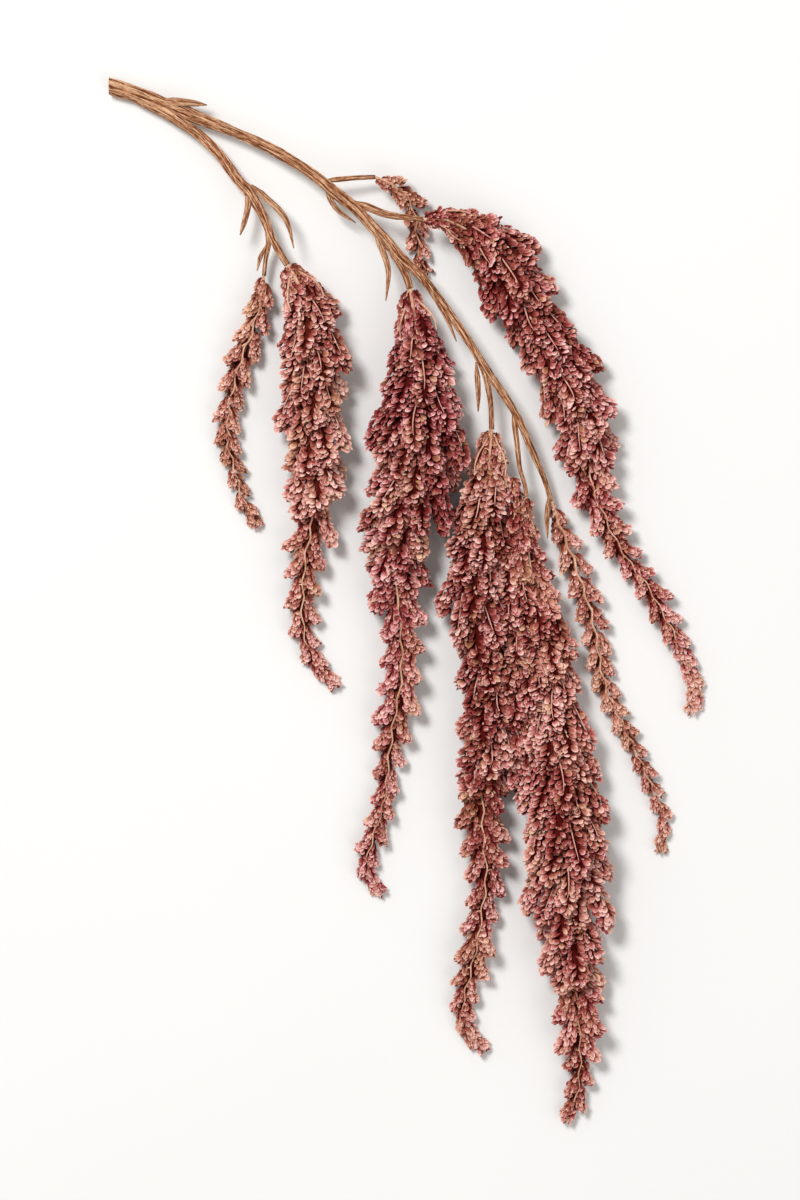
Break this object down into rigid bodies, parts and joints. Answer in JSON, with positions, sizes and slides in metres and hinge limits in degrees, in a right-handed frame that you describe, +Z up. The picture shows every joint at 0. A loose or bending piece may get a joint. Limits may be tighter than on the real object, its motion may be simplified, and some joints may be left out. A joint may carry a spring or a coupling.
{
  "type": "dried amaranth tassel stem",
  "caption": "Cut, dried amaranth stem lying flat, with long drooping tassels of papery rose and burgundy florets on a ribbed tan stem.",
  "frame": {"origin": "on the surface that it lies on, under the middle of its box", "axes": "+Y towards the cut end of the stem, +Z up from the surface, +X to the side that the stem arches to"},
  "size_m": [0.2967, 0.5242, 0.0361],
  "materials": {
    "stem": "dry, ribbed, matt",
    "florets_rose_brown": "dry, papery, matt",
    "florets_burgundy": "dry, papery, matt",
    "florets_rose": "dry, papery, matt"
  },
  "bodies": {
    "root": {"stem": "stem", "tassel_left_thin": "florets_rose_brown", "tassel_left": "florets_rose_brown", "tassel_centre": "florets_burgundy", "tassel_front_left": "florets_rose_brown", "tassel_front_right": "florets_rose_brown", "tassel_right_thin": "florets_rose_brown", "tassel_right": "florets_rose", "tassel_upper_short": "florets_rose"}
  },
  "joints": []
}
